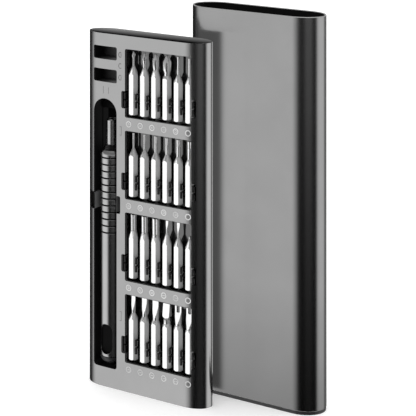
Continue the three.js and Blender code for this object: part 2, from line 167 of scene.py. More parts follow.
def lathe(name, profile, centre=(0, 0), segments=96):
    """A profile of (radius, z) points turned about a vertical line.

    The profile starts and ends on the line, or closes on itself.
    """
    verts, rings = [], []
    for radius, z in profile:
        if radius == 0:
            rings.append([len(verts)])
            verts.append((*centre, z))
            continue
        rings.append(list(range(len(verts), len(verts) + segments)))
        verts += [(*point, z) for point in ring(centre, radius, segments)]
    pairs = list(zip(rings, rings[1:]))
    if profile[0][0] > 0 and profile[-1][0] > 0:
        pairs.append((rings[-1], rings[0]))
    faces = []
    for a, b in pairs:
        if len(a) == len(b) == 1:
            continue
        for i in range(segments):
            j = (i + 1) % segments
            if len(a) == 1:
                faces.append((a[0], b[i], b[j]))
            elif len(b) == 1:
                faces.append((a[i], a[j], b[0]))
            else:
                faces.append((a[i], a[j], b[j], b[i]))
    return outward(new_object(name, verts, faces))


def apply_modifiers(obj):
    graph = bpy.context.evaluated_depsgraph_get()
    made = bpy.data.meshes.new_from_object(obj.evaluated_get(graph))
    old = obj.data
    obj.modifiers.clear()
    obj.data = made
    bpy.data.meshes.remove(old)
    return obj


def boolean(obj, other, operation="DIFFERENCE"):
    """Cut obj by other, or join or overlap the two; other is used up."""
    modifier = obj.modifiers.new("cut", "BOOLEAN")
    modifier.operation = operation
    modifier.solver = "EXACT"
    modifier.object = other
    bpy.context.view_layer.update()
    apply_modifiers(obj)
    mesh = other.data
    bpy.data.objects.remove(other)
    bpy.data.meshes.remove(mesh)
    return obj


def paint(obj, *materials):
    for material in materials:
        obj.data.materials.append(material)
    return obj


def chamfer(obj, width, where=None):
    """Bevel the sharp edges, or those whose ends pass a test.

    The bevels take the object's second material if it has one.
    """
    modifier = obj.modifiers.new("edge", "BEVEL")
    modifier.width = width * MM
    modifier.segments = 1
    modifier.material = 1 if len(obj.data.materials) > 1 else -1
    modifier.limit_method = "ANGLE"
    modifier.angle_limit = math.radians(30)
    modifier.miter_outer = "MITER_ARC"
    if where:
        modifier.limit_method = "WEIGHT"
        weights = obj.data.attributes.new("bevel_weight_edge", "FLOAT", "EDGE")
        for edge in obj.data.edges:
            ends = [obj.data.vertices[i].co / MM for i in edge.vertices]
            weights.data[edge.index].value = float(all(where(end) for end in ends))
    modifier.use_clamp_overlap = True
    bpy.context.view_layer.update()
    return apply_modifiers(obj)


def smooth(obj, angle=28):
    """Shade smooth across edges that turn by less than the angle, in degrees."""
    mesh = obj.data
    mesh.polygons.foreach_set("use_smooth", [True] * len(mesh.polygons))
    mesh.set_sharp_from_angle(angle=math.radians(angle))
    modifier = obj.modifiers.new("shading", "WEIGHTED_NORMAL")
    modifier.keep_sharp = True
    bpy.context.view_layer.update()
    return apply_modifiers(obj)


def finish_piece(obj, body, slot, *nodes):
    """Let a piece ride on a body, in the place of the named CAD nodes."""
    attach(obj, body)
    if nodes:
        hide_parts(*nodes)


# ---------------------------------------------------------------- outlines
def ring(centre, radius, points):
    """Points evenly spaced round a circle."""
    angles = [2 * math.pi * i / points for i in range(points)]
    return [(centre[0] + radius * math.cos(a), centre[1] + radius * math.sin(a)) for a in angles]


def arc(centre, radius, start, end, steps, tall=1.0):
    """Points along an arc, both ends included, with angles in degrees; tall stretches it upward."""
    angles = [math.radians(start + (end - start) * i / steps) for i in range(steps + 1)]
    return [(centre[0] + radius * math.cos(a), centre[1] + tall * radius * math.sin(a)) for a in angles]


def hexagon(flats, centre=(0, 0)):
    return ring(centre, flats / math.sqrt(3), 6)


def round_ended(width, depth, reach, inset=0.0, centre=(0, 0)):
    """Two flat faces joined by half-ellipses, whose ends lie the reach away from the flats."""
    flat = width / 2 - reach
    across = reach - inset
    tall = (depth / 2 - inset) / across
    right_end = arc((centre[0] + flat, centre[1]), across, -90, 90, 40, tall)
    left_end = arc((centre[0] - flat, centre[1]), across, 90, 270, 40, tall)
    return right_end + left_end


def rounded_box(left, right, low, high, radius, steps=6):
    points = []
    for x, z, start in ((right, low, -90), (right, high, 0), (left, high, 90), (left, low, 180)):
        across = x - radius if x == right else x + radius
        up = z + radius if z == low else z - radius
        points += arc((across, up), radius, start, start + 90, steps)
    return points


# ---------------------------------------------------------------- materials
class Tree:
    """A small helper for building shader nodes."""

    def __init__(self, node_tree):
        self.nodes, self.links = node_tree.nodes, node_tree.links

    def add(self, kind, **inputs):
        node = self.nodes.new(kind)
        for name, value in inputs.items():
            self.set(node, name.replace("_", " "), value)
        return node

    def set(self, node, name, value):
        if isinstance(value, bpy.types.NodeSocket):
            self.links.new(value, node.inputs[name])
        else:
            node.inputs[name].default_value = value

    def ramp(self, value, stops):
        node = self.add("ShaderNodeValToRGB", Fac=value)
        elements = node.color_ramp.elements
        while len(elements) < len(stops):
            elements.new(0.5)
        for element, (position, colour) in zip(elements, stops):
            element.position = position
            grey = isinstance(colour, (int, float))
            element.color = (colour, colour, colour, 1) if grey else (*colour, 1)
        return node.outputs["Color"]

    def math(self, operation, *values):
        node = self.nodes.new("ShaderNodeMath")
        node.operation = operation
        for i, value in enumerate(values):
            self.set(node, i, value)
        return node.outputs[0]

    def blend(self, share, first, second):
        """A number between first and second."""
        rest = self.math("MULTIPLY", self.math("SUBTRACT", 1.0, share), first)
        return self.math("ADD", self.math("MULTIPLY", share, second), rest)

    def axis(self, vector, index):
        node = self.nodes.new("ShaderNodeSeparateXYZ")
        self.links.new(vector, node.inputs[0])
        return node.outputs[index]

    def mix(self, share, first, second):
        """A shader between first and second."""
        node = self.nodes.new("ShaderNodeMixShader")
        for i, value in enumerate((share, first, second)):
            self.links.new(value, node.inputs[i])
        return node.outputs[0]


class Graph(Tree):
    """The nodes of one material."""

    def __init__(self, name):
        self.material = bpy.data.materials.new(name)
        self.material.use_nodes = True
        super().__init__(self.material.node_tree)
        self.shader = self.nodes["Principled BSDF"]
        coordinates = self.add("ShaderNodeTexCoord")
        self.place = coordinates.outputs["Object"]
        self.normal = coordinates.outputs["Normal"]

    def along(self, index, start, end):
        """How far a point lies along x, y or z, from 0 at start to 1 at end, in millimetres."""
        scale = 1 / ((end - start) * MM)
        return self.math("MULTIPLY_ADD", self.axis(self.place, index), scale, -start * MM * scale)

    def noise(self, scale, detail, vector=None):
        node = self.add("ShaderNodeTexNoise", Scale=scale, Detail=detail, Roughness=0.5)
        self.links.new(vector or self.place, node.inputs["Vector"])
        return node.outputs["Fac"]

    def varied(self, noise, low, high):
        """A number or a colour that wanders between low and high with a noise."""
        return self.ramp(noise, [(0.3, low), (0.7, high)])

    def bump(self, height, strength, distance):
        """A bumpy normal, with the distance in millimetres."""
        node = self.add("ShaderNodeBump", Height=height, Strength=strength, Distance=distance * MM)
        return node.outputs[0]

    def finish(self, **inputs):
        for name, value in inputs.items():
            self.set(self.shader, name.replace("_", " "), value)
        return self.material


def anodised(name, light, dark, roughness, painted_foot_shade=None, painted_top_shade=None):
    """Bead-blasted, anodised aluminium, which may get painted shade toward its foot or on its top."""
    g = Graph(name)
    cloud = g.noise(60, 3)
    grain = g.noise(9000, 2)
    colour = g.varied(cloud, dark, light)
    if painted_top_shade:
        # Painted shade on faces that look up: darker toward the front and the right, with a weaker
        # reflection.
        from_front = g.ramp(g.along(1, -10, 10), [(0.2, painted_top_shade), (0.8, 1)])
        to_right = g.ramp(g.along(0, -125 / 3, 125 / 3), [(0.1, 1), (0.9, 0.6)])
        shade = g.math("MULTIPLY", from_front, to_right)
        facing_up = g.ramp(g.axis(g.normal, 2), [(0.5, 0), (0.9, 1)])
        top_shade_factor = g.blend(facing_up, 1.0, shade)
        colour = g.math("MULTIPLY", colour, top_shade_factor)
        g.finish(Specular_Tint=top_shade_factor)
    if painted_foot_shade:
        # Painted shade: darker toward the foot.
        shade = g.ramp(g.along(2, 0, 100), [(0, painted_foot_shade), (0.25, 0.78), (0.55, 0.95), (1, 1)])
        colour = g.math("MULTIPLY", colour, shade)
    rough = g.varied(grain, roughness - 0.03, roughness + 0.03)
    return g.finish(Base_Color=colour, Roughness=rough, Metallic=1.0, Normal=g.bump(grain, 0.12, 0.03))


def plastic(name, colour, roughness, grain_scale, grain, ior=1.5):
    """Moulded plastic or dried paint with a fine grain."""
    g = Graph(name)
    fine = g.noise(grain_scale, 3)
    darker, lighter = ([c * share for c in colour] for share in (0.8, 1.2))
    tone = g.varied(g.noise(120, 2), darker, lighter)
    rough = g.varied(fine, roughness - 0.02, roughness + 0.03)
    return g.finish(Base_Color=tone, Roughness=rough, Normal=g.bump(fine, grain, 0.05), IOR=ior)


def steel(name, tone, roughness, stretch, painted_flank_light=1.0):
    """Plated steel with faint grinding lines along z, and painted shade on its flanks: a darker colour
    and less metal there.
    """
    g = Graph(name)
    mapping = g.add("ShaderNodeMapping", Vector=g.place, Scale=stretch)
    lines = g.noise(1.0, 3, mapping.outputs["Vector"])
    colour = g.varied(g.noise(400, 2), tone - 0.03, tone + 0.03)
    # Painted shade: faces turned away from the front and back are darker and less metallic.
    facing = g.math("ABSOLUTE", g.axis(g.normal, 1))
    metallic = g.ramp(facing, [(0.55, painted_flank_light), (0.9, 1.0)])
    painted_flank_shade = g.ramp(facing, [(0.55, 0.25 + 0.7 * painted_flank_light), (0.9, 1.0)])
    colour = g.math("MULTIPLY", colour, painted_flank_shade)
    rough = g.varied(lines, roughness - 0.04, roughness + 0.05)
    normal = g.bump(lines, 0.05, 0.02)
    return g.finish(Base_Color=colour, Roughness=rough, Metallic=metallic, Normal=normal)


def liner_plastic(name):
    """Black plastic, polished behind the bits and dull in the trough and the two pockets.

    Painted light in the two pockets: they are greyer toward their right ends.
    """
    g = Graph(name)
    fine = g.noise(3000, 3)
    by_bits = g.math("GREATER_THAN", g.axis(g.place, 0), -12 * MM)
    at_pockets = g.math("GREATER_THAN", g.axis(g.place, 2), 138 * MM)
    in_pocket = g.math("MULTIPLY", at_pockets, g.math("SUBTRACT", 1.0, by_bits))
    # Painted light: the pockets grow greyer toward their right ends.
    painted_pocket_light = g.ramp(g.along(0, 0, -100 / 3), [(0.4, 0.3), (0.62, 0.05), (0.8, 0.003)])
    tone = g.math("ADD", g.math("MULTIPLY", in_pocket, painted_pocket_light), g.varied(fine, 0.003, 0.005))
    rough = g.blend(by_bits, 0.5, 0.06)
    ior = g.blend(by_bits, 1.15, 2.0)
    return g.finish(Base_Color=tone, Roughness=rough, IOR=ior, Normal=g.bump(fine, 0.05, 0.05))


# Painted shade on the tray's top, and toward the sleeve's foot.
TRAY_METAL = anodised("tray_metal", 0.32, 0.30, 0.18, painted_top_shade=0.12)
SLEEVE_METAL = anodised("sleeve_metal", 0.27, 0.255, 0.18, painted_foot_shade=0.62)
HANDLE_METAL = anodised("handle_metal", 0.40, 0.37, 0.2)
CUT_METAL = anodised("cut_edge", 0.85, 0.8, 0.42)
BLACK_MATTE = plastic("black_matte", (0.012, 0.012, 0.013), 0.42, 5000, 0.3)
# Black used as painted shade inside the tray and the sleeve, in the handle's grooves and slot and on
# the slot's inlay; the clip's arm ends are black too.
DEEP_BLACK = plastic("deep_black", (0.003, 0.003, 0.003), 0.55, 4000, 0.2, ior=1.12)
RACK_BLACK = plastic("rack_black", (0.005, 0.005, 0.005), 0.25, 3000, 0.1, ior=1.3)
LINER = liner_plastic("liner_black")
# The bits' flanks get painted shade.
BIT_STEEL = steel("bit_steel", 0.82, 0.17, (2500, 2500, 150), painted_flank_light=0.25)
PLATED = steel("plated_steel", 0.42, 0.25, (2000, 2000, 300))
MAGNET = steel("magnet_nickel", 0.5, 0.3, (900, 900, 900))
PRINT = plastic("pale_print", (0.5, 0.5, 0.5), 0.5, 4000, 0.2)
CLIP_GREY = plastic("clip_grey", (0.11, 0.11, 0.11), 0.35, 3000, 0.1)
DARK_PRINT = plastic("dark_print", (0.12, 0.12, 0.12), 0.5, 4000, 0.2)


# ---------------------------------------------------------------- tray
def trough_outline():
    """A round-topped opening with small corners at its foot."""
    inner, foot = TROUGH_HALF - TROUGH_CORNER, TROUGH_BOTTOM + TROUGH_CORNER
    left = arc((AXIS[0] - inner, foot), TROUGH_CORNER, 180, 270, 6)
    right = arc((AXIS[0] + inner, foot), TROUGH_CORNER, -90, 0, 6)
    return left + right + arc((AXIS[0], TROUGH_TOP - TROUGH_HALF), TROUGH_HALF, 0, 180, 32)


def tray_shell():
    """The hollow shell, with all openings cut through its front: bright rims, and painted shade in
    black on its insides.
    """
    body = prism("tray_casing", round_ended(TRAY_WIDTH, TRAY_DEPTH, TRAY_REACH), 0, TRAY_HEIGHT)
    hollow = round_ended(TRAY_WIDTH, TRAY_DEPTH, TRAY_REACH, WALL)
    boolean(body, prism("cavity", hollow, -FAR, TRAY_HEIGHT - TRAY_TOP))

    def cut(outline, back=CUT_BACK):
        boolean(body, prism("opening", outline, -FAR, back, "y"))

    for low in ROW_BOTTOMS:
        cut(rounded_box(WINDOW_LEFT, WINDOW_RIGHT, low, low + WINDOW_HEIGHT, CORNER))
        left, right = WINDOW_LEFT - NOTCH_OUT, WINDOW_RIGHT + NOTCH_OUT
        cut(rounded_box(left, right, low + NOTCH_BOTTOM, low + NOTCH_TOP, CORNER))
    for low in POCKET_BOTTOMS:
        cut(rounded_box(POCKET_LEFT, POCKET_RIGHT, low, low + POCKET_HEIGHT, CORNER))
    cut(trough_outline())
    low, high = CLIP_BOTTOM - CLIP_ROOM, CLIP_TOP + CLIP_ROOM
    cut(rounded_box(CLIP_NOTCH_LEFT, CLIP_NOTCH_RIGHT, low, high, CORNER), CLIP_NOTCH_BACK)
    chamfer(paint(body, TRAY_METAL, CUT_METAL, DEEP_BLACK), width=0.28)
    # Painted shade: the faces inside the shell, and the rims deep in its openings, take the black.
    flat, skin = TRAY_WIDTH / 2 - TRAY_REACH, 0.3
    for face in body.data.polygons:
        x, y, z = face.center / MM
        past = max(abs(x) - flat, 0) / (TRAY_REACH - skin)
        inside = past**2 + (y / (TRAY_DEPTH / 2 - skin)) ** 2 < 1 and z < TRAY_HEIGHT - 1
        front_rim = face.material_index == RIM and y < FRONT + 1.3
        if inside and not front_rim:
            face.material_index = DARK
    body.visible_glossy = False
    finish_piece(smooth(body), TRAY, "tray_aluminium", "tray_shell")


# ---------------------------------------------------------------- marks on the tray's face
def face_y(x):
    """The front surface of the tray, which curves back at its ends."""
    past = max(abs(x) - (TRAY_WIDTH / 2 - TRAY_REACH), 0) / TRAY_REACH
    return FRONT * math.sqrt(1 - past * past)


def ribbon(path, width, closed=False):
    """A thin printed line along a path of (x, z) points: its corners and its faces."""
    proud, sunk = 0.025, 0.1
    n = len(path)
    verts, faces = [], []
    for i, (x, z) in enumerate(path):
        before = path[i - 1] if closed or i else path[0]
        after = path[(i + 1) % n] if closed or i < n - 1 else path[-1]
        along = Vector((after[0] - before[0], after[1] - before[1])).normalized()
        for side in (-1, 1):
            a, b = x - side * along.y * width / 2, z + side * along.x * width / 2
            verts += [(a, face_y(a) - proud, b), (a, face_y(a) + sunk, b)]
    for i in range(n if closed else n - 1):
        j = (i + 1) % n
        for a, b in ((0, 2), (2, 3), (3, 1), (1, 0)):
            faces.append((4 * i + a, 4 * j + a, 4 * j + b, 4 * i + b))
    if not closed:
        last = 4 * (n - 1)
        faces += [(0, 1, 3, 2), (last + 2, last + 3, last + 1, last)]
    return verts, faces


def print_marks(name, lines, material):
    """One piece made of many printed lines."""
    verts, faces = [], []
    for line_verts, line_faces in lines:
        faces += [tuple(len(verts) + i for i in face) for face in line_faces]
        verts += line_verts
    made = outward(new_object(name, verts, faces))
    finish_piece(paint(made, material), TRAY, "tray_aluminium")


def star_outline(centre, outer, inner):
    """A soft star with six points."""
    points, steps = 6, 48
    outline = []
    for i in range(steps):
        a = 2 * math.pi * i / steps
        r = inner + (outer - inner) * (0.5 + 0.5 * math.cos(points * a))
        outline.append((centre[0] + r * math.sin(a), centre[1] + r * math.cos(a)))
    return outline


def drive_symbol(kind, x, z):
    """A small sign for each kind of drive, inside its ring."""
    if kind == "cross":
        return [
            ribbon([(x - 0.55, z), (x + 0.55, z)], 0.2),
            ribbon([(x, z - 0.55), (x, z + 0.55)], 0.2),
        ]
    if kind == "star":
        return [ribbon(star_outline((x, z), 0.56, 0.32), 0.18, True)]
    if kind == "hex":
        return [ribbon(ring((x, z), 0.55, 6), 0.18, True)]
    if kind == "fork":
        return [
            ribbon([(x - 0.7, z), (x - 0.2, z)], 0.3),
            ribbon([(x + 0.2, z), (x + 0.7, z)], 0.3),
        ]
    return [ribbon([(x - 0.7, z), (x + 0.7, z)], 0.3)]


def face_marks():
    """Rings under the bits, and dark arcs and strokes beside the openings.

    Each ring holds a sign of the bit's drive, or a dark dot in the last column.
    """
    first, pitch, drop = -7.2, 6.42, 2.9
    ring_radius, ring_line, dot_radius, dot_line = 1.2, 0.4, 0.3, 0.58
    pale, dark = [], []
    for row, low in enumerate(ROW_BOTTOMS):
        for column, (kind, *_) in enumerate(BITS[row]):
            at = (first + pitch * column, low - drop)
            pale.append(ribbon(ring(at, ring_radius, 40), ring_line, True))
            if column < COLUMNS - 1:
                pale += drive_symbol(kind, *at)
            else:
                dark.append(ribbon(ring(at, dot_radius, 40), dot_line, True))
    print_marks("drive_marks", pale, PRINT)
    arcs_x, tick_x, tick_half = -11.9, -11.4, 0.6
    for z, tick in ((153.1, True), (148.0, False), (142.7, True)):
        dark.append(ribbon(arc((arcs_x, z), 0.85, 50, 310, 24, 1.3), 0.35))
        if tick:
            dark.append(ribbon([(tick_x, z - tick_half), (tick_x, z + tick_half)], 0.3))
    for x, bottom, top in ((-21.4, 134.4, 137.8), (-18.5, 134.6, 137.5)):
        dark.append(ribbon([(x, bottom), (x, top)], 0.18))
    left, right, upright = -12.2, -11.2, -11.3
    for bottom, top in ((116.5, 120.3), (31.8, 36.0)):
        dark.append(ribbon([(left, top), (right, top)], 0.22))
        dark.append(ribbon([(upright, top), (upright, bottom)], 0.22))
        dark.append(ribbon([(left, bottom), (right, bottom)], 0.22))
    print_marks("side_marks", dark, DARK_PRINT)


# ---------------------------------------------------------------- sleeve
def sleeve_tube():
    """The round-ended tube, with bright rims and painted shade in black on its inside."""
    outer = round_ended(SLEEVE_WIDTH, SLEEVE_DEPTH, SLEEVE_REACH, 0, SLEEVE_AT)
    inner = round_ended(SLEEVE_WIDTH, SLEEVE_DEPTH, SLEEVE_REACH, WALL, SLEEVE_AT)
    body = prism("sleeve_casing", outer, SLEEVE_FOOT, SLEEVE_HEIGHT)
    boolean(body, prism("bore", inner, -FAR, SLEEVE_HEIGHT + FAR))
    chamfer(paint(body, SLEEVE_METAL, CUT_METAL, DEEP_BLACK), width=0.22)
    # Painted shade: the faces inside the tube take the black.
    centre = Vector((*SLEEVE_AT, 0)) * MM
    for face in body.data.polygons:
        inward = face.normal.dot(face.center - centre) < 0
        if face.material_index == METAL and abs(face.normal.z) < 0.5 and inward:
            face.material_index = DARK
    body.visible_glossy = False
    finish_piece(smooth(body), SLEEVE, "sleeve_aluminium", "sleeve_tube")


# ---------------------------------------------------------------- handle
def handle_grip():
    """The turned body, with a row of grooves and a round-ended slot near its foot; the groove floors
    and the slot's walls are painted black as shade.
    """
    radius, low, high = GRIP_RADIUS, GRIP_BOTTOM, GRIP_TOP
    profile = [(0, low), (radius - 0.3, low), (radius - 0.08, low + 0.1), (radius, low + 0.35)]
    for i in range(GROOVES):
        z = GROOVE_FIRST + GROOVE_PITCH * i
        profile += [
            (radius, z - 0.4),
            (radius - 0.08, z - 0.3),
            (radius - GROOVE_DEPTH, z - 0.24),
            (radius - GROOVE_DEPTH, z + 0.24),
            (radius - 0.08, z + 0.3),
            (radius, z + 0.4),
        ]
    profile += [(radius, high - 2.1), (radius - 0.12, high - 1.4), (radius - 0.5, high - 0.6)]
    profile += [(radius - 1, high), (0, high)]
    body = lathe("grip", profile, AXIS, 128)
    left, right = AXIS[0] - SLOT_HALF, AXIS[0] + SLOT_HALF
    outline = rounded_box(left, right, SLOT_BOTTOM, SLOT_TOP, SLOT_HALF - 0.01, 16)
    boolean(body, prism("slot", outline, -FAR, AXIS[1] - SLOT_FLOOR, "y"))

    def at_slot(x, z, margin):
        return abs(x - AXIS[0]) < SLOT_HALF + margin and SLOT_BOTTOM - margin < z < SLOT_TOP + margin

    def from_axis(x, y):
        return math.hypot(x - AXIS[0], y - AXIS[1])

    def on_rim(point):
        x, y, z = point
        return from_axis(x, y) > radius - 0.02 and at_slot(x, z, 0.01) and y < 0

    chamfer(paint(body, HANDLE_METAL, CUT_METAL, DEEP_BLACK), width=0.4, where=on_rim)
    # Painted shade: the groove floors and the slot's walls take the black.
    last = GROOVE_FIRST + GROOVE_PITCH * (GROOVES - 1)
    for face in body.data.polygons:
        x, y, z = face.center / MM
        grooved = from_axis(x, y) < radius - 0.1 and GROOVE_FIRST - 0.5 < z < last + 0.5
        in_slot = at_slot(x, z, 0.1) and -5 < y < -3.4
        if face.material_index == METAL and (grooved or in_slot):
            face.material_index = DARK
    finish_piece(smooth(body, angle=20), HANDLE, "handle_aluminium", "handle_body")


def handle_collar():
    """A stepped cone round the socket."""
    rings = [(2.95, 107.85), (4.45, 107.85), (4.45, 108.25), (4.1, 108.45), (4.1, 108.95)]
    rings += [(3.75, 109.15), (3.75, 109.6), (3.3, 109.8), (3.3, 110.2), (2.95, 110.2)]
    collar = smooth(lathe("grip_collar", rings, AXIS), angle=20)
    finish_piece(paint(collar, RACK_BLACK), HANDLE, "black_matte", "handle_collar")


def bit_socket():
    """A steel rod with a hexagonal bore in its nose, drawn in one with the magnet below the bore."""
    radius, bottom, top, bore, bore_bottom = 2.8, 97.5, 121.8, 4.25, 108.5
    profile = [(0, bottom), (radius, bottom), (radius, top - 0.5), (radius - 0.5, top), (0, top)]
    nose = lathe("bit_nose", profile, AXIS)
    boolean(nose, prism("hex_bore", hexagon(bore, AXIS), bore_bottom, top + FAR))
    nose = paint(smooth(nose, angle=25), PLATED)
    finish_piece(nose, HANDLE, "plated_steel", "bit_socket", "socket_magnet")


def slot_inlay():
    # A black sheet in the handle's slot, as painted shade.
    gap, front, back = 0.1, -4.6, -3.7
    left, right = AXIS[0] - SLOT_HALF + gap, AXIS[0] + SLOT_HALF - gap
    outline = rounded_box(left, right, SLOT_BOTTOM + gap, SLOT_TOP - gap, SLOT_HALF - gap - 0.01, 16)
    inlay = smooth(chamfer(prism("slot_inlay", outline, front, back, "y"), width=0.1))
    finish_piece(paint(inlay, DEEP_BLACK), HANDLE, "black_matte", "handle_inlay")


def end_cap():
    """A domed cap that closes the handle's foot."""
    profile = [(0, 10), (2.6, 10), (3.7, 10.2), (4.6, 10.7), (5.25, 11.5), (5.55, 12.5)]
    profile += [(GRIP_RADIUS, 13.1), (0, 13.1)]
    cap = smooth(lathe("end_cap", profile, AXIS), angle=30)
    finish_piece(paint(cap, BLACK_MATTE), CAP, "black_matte", "swivel_cap")


def handle_clip():
    """A U-shaped spring round the handle; the ends of its arms are dark."""
    inner, outer, arm_end = 5.85, 6.25, AXIS[1] - 6.1
    outline = [(AXIS[0] + outer, arm_end), *arc(AXIS, outer, 0, 180, 48)]
    outline += [(AXIS[0] - outer, arm_end), (AXIS[0] - inner, arm_end)]
    outline += [*arc(AXIS, inner, 180, 0, 48), (AXIS[0] + inner, arm_end)]
    body = prism("clip", outline, CLIP_BOTTOM, CLIP_TOP)
    chamfer(paint(body, CLIP_GREY, CLIP_GREY, DEEP_BLACK), width=0.08)
    for face in body.data.polygons:
        if face.normal.y < -0.6:
            face.material_index = DARK
    finish_piece(smooth(body), TRAY, "plated_steel", "handle_clip")


# ---------------------------------------------------------------- bits
def bit_drive(shank, cone, hex_length):
    """The hexagonal end, with a bevelled foot and a cone up to the shank, and the cone's top."""
    wide, bevel = BIT_FLATS / math.sqrt(3) + 0.03, 0.55
    top = hex_length + cone
    body = prism("bit", hexagon(BIT_FLATS), 0, top + 0.5)
    profile = [(0, 0), (wide - bevel, 0), (wide, bevel), (wide, hex_length), (shank, top), (0, top)]
    boolean(body, lathe("envelope", profile, segments=72), "INTERSECT")
    return chamfer(body, width=0.06), top


def shank_rod(body, shank, low, high):
    """Join a round rod to the bit, with a millimetre of it sunk in the cone."""
    profile = [(0, low - 1), (shank, low - 1), (shank, high), (0, high)]
    boolean(body, lathe("shank", profile, segments=48), "UNION")


def flute_cutter(low, high, wide, start, end, turned):
    """A groove with a square inner corner that comes nearer to the axis as it rises."""
    verts = []
    for z, c in ((low, start), (high, end)):
        verts += [(c, c, z), (wide, c, z), (wide, wide, z), (c, wide, z)]
    faces = [(3, 2, 1, 0), (4, 5, 6, 7), (0, 1, 5, 4), (1, 2, 6, 5), (2, 3, 7, 6), (3, 0, 4, 7)]
    cutter = new_object("flute", verts, faces)
    cutter.data.transform(Matrix.Rotation(math.radians(turned), 4, "Z"))
    return outward(cutter)


def cross_tip(body, shank, foot, radius, length):
    """A turned, coned tip with four flutes."""
    cone = radius * 1.5
    flare = min(1.2, length * 0.25)
    profile = [(0, foot - 0.3), (shank, foot - 0.3), (radius, foot + flare)]
    profile += [(radius, BIT_LENGTH - cone), (radius * 0.25, BIT_LENGTH), (0, BIT_LENGTH)]
    tip = lathe("tip", profile, segments=48)
    low, high = foot + flare * 0.4, BIT_LENGTH + 0.5
    for quarter in range(4):
        turned = 90 * quarter + 45
        boolean(tip, flute_cutter(low, high, 6, radius * 0.78, radius * 0.13, turned))
    boolean(body, tip, "UNION")


def grind(tip, sides):
    """Cut a tip to a wedge seen from the side, given the right half of its outline upward."""
    outline = sides + [(-y, z) for y, z in reversed(sides)]
    return boolean(tip, prism("wedge", outline, -FAR, FAR, "x"), "INTERSECT")


def blade_tip(body, shank, foot, half_width, edge):
    """A tip ground flat front and back, wider at its end."""
    profile = [(0, foot - 0.3), (shank, foot - 0.3), (shank, foot)]
    profile += [(half_width, BIT_LENGTH - 0.6), (half_width, BIT_LENGTH), (0, BIT_LENGTH)]
    ground = BIT_LENGTH - 0.3 * (BIT_LENGTH - foot)
    sides = [(shank + 0.35, foot - 1), (edge, ground), (edge, BIT_LENGTH + 1)]
    boolean(body, grind(lathe("tip", profile, segments=48), sides), "UNION")


def slab_tip(body, foot, half_width, edge):
    """A wide flat blade with rounded lower corners, on a round neck."""
    outline = rounded_box(-half_width, half_width, foot + 0.3, BIT_LENGTH, 1.1)
    outline = [(x, BIT_LENGTH if z > BIT_LENGTH - 1.2 else z) for x, z in outline]
    slab = prism("tip", outline, -1.3, 1.3, "y")
    thick = 1.25
    grind(slab, [(thick, foot - 1), (thick, foot + 1), (edge, BIT_LENGTH + 1)])
    neck = [(0, foot - 0.6), (1.6, foot - 0.6), (1.6, foot - 0.2)]
    neck += [(thick, foot - 0.1), (thick, foot + 1), (0, foot + 1)]
    boolean(slab, lathe("neck", neck, segments=48), "UNION")
    boolean(body, slab, "UNION")


def star_grooves(body, shank, length):
    """Six round grooves along the end of the shank."""
    for i in range(6):
        a = math.radians(60 * i + 30)
        at = (shank * 1.12 * math.sin(a), shank * 1.12 * math.cos(a))
        r, low, high = shank * 0.45, BIT_LENGTH - length, BIT_LENGTH + FAR
        boolean(body, lathe("groove", [(0, low), (r, low), (r, high), (0, high)], at, 16))


def make_bit(row, column, kind, shank, cone, *shape):
    """One bit: its drive, its shank and its tip, moved to its place in the tray."""
    body, top = bit_drive(shank, cone, FINE_HEX if kind == "hex" else BIT_HEX)
    if kind in ("star", "hex"):
        shank_rod(body, shank, top, BIT_LENGTH)
        if kind == "star":
            star_grooves(body, shank, *shape)
    else:
        length = shape[1] if kind == "cross" else shape[2]
        foot = BIT_LENGTH - length
        if foot > top:
            shank_rod(body, shank, top, foot)
        if kind == "cross":
            cross_tip(body, shank, foot, *shape)
        elif kind == "slab":
            slab_tip(body, foot, *shape[:2])
        else:
            blade_tip(body, shank, foot, *shape[:2])
        if kind == "fork":
            half, depth = shape[3:]
            notch = rounded_box(-half, half, BIT_LENGTH - depth, BIT_LENGTH + FAR, 0.5)
            boolean(body, prism("notch", notch, -FAR, FAR, "y"))
    smooth(body, angle=25)
    x, z = BIT_FIRST + BIT_PITCH * column, ROW_BOTTOMS[row] + BIT_LIFT
    body.data.transform(Matrix.Translation(Vector((x, BIT_Y, z)) * MM))
    place = f"{row + 1}{column + 1}"
    node = next(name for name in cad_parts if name.startswith(f"bit_{place}_"))
    body.name = f"drive_{place}"
    finish_piece(paint(body, BIT_STEEL), node, "bit_steel", node)


# ---------------------------------------------------------------- latch spring
def latch_spring():
    """A helix of wire, as wide and as tall as the CAD spring."""
    low, high = ([value / MM for value in corner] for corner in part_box("latch_spring"))
    middle = [(a + b) / 2 for a, b in zip(low, high)]
    wire, turns, steps, sides = 0.3, 4, 144, 10
    radius = (high[0] - low[0]) / 2 - wire
    rise = high[2] - low[2] - 2 * wire
    verts, faces = [], []
    for i in range(steps + 1):
        angle = 2 * math.pi * turns * i / steps
        for j in range(sides):
            around = 2 * math.pi * j / sides
            reach = radius + wire * math.cos(around)
            z = low[2] + wire + rise * i / steps + wire * math.sin(around)
            verts.append((middle[0] + reach * math.cos(angle), middle[1] + reach * math.sin(angle), z))
            if i < steps:
                start, after = i * sides, i * sides + (j + 1) % sides
                faces.append((start + j, after, after + sides, start + j + sides))
    faces += [tuple(reversed(range(sides))), tuple(range(steps * sides, (steps + 1) * sides))]
    spring = smooth(outward(new_object("plunger_spring", verts, faces)), angle=60)
    finish_piece(paint(spring, PLATED), SLEEVE, "plated_steel", "latch_spring")
    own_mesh(spring)


tray_shell()
face_marks()
sleeve_tube()
handle_grip()
handle_collar()
bit_socket()
slot_inlay()
end_cap()
handle_clip()
for row, bits in enumerate(BITS):
    for column, bit in enumerate(bits):
        make_bit(row, column, *bit)
latch_spring()

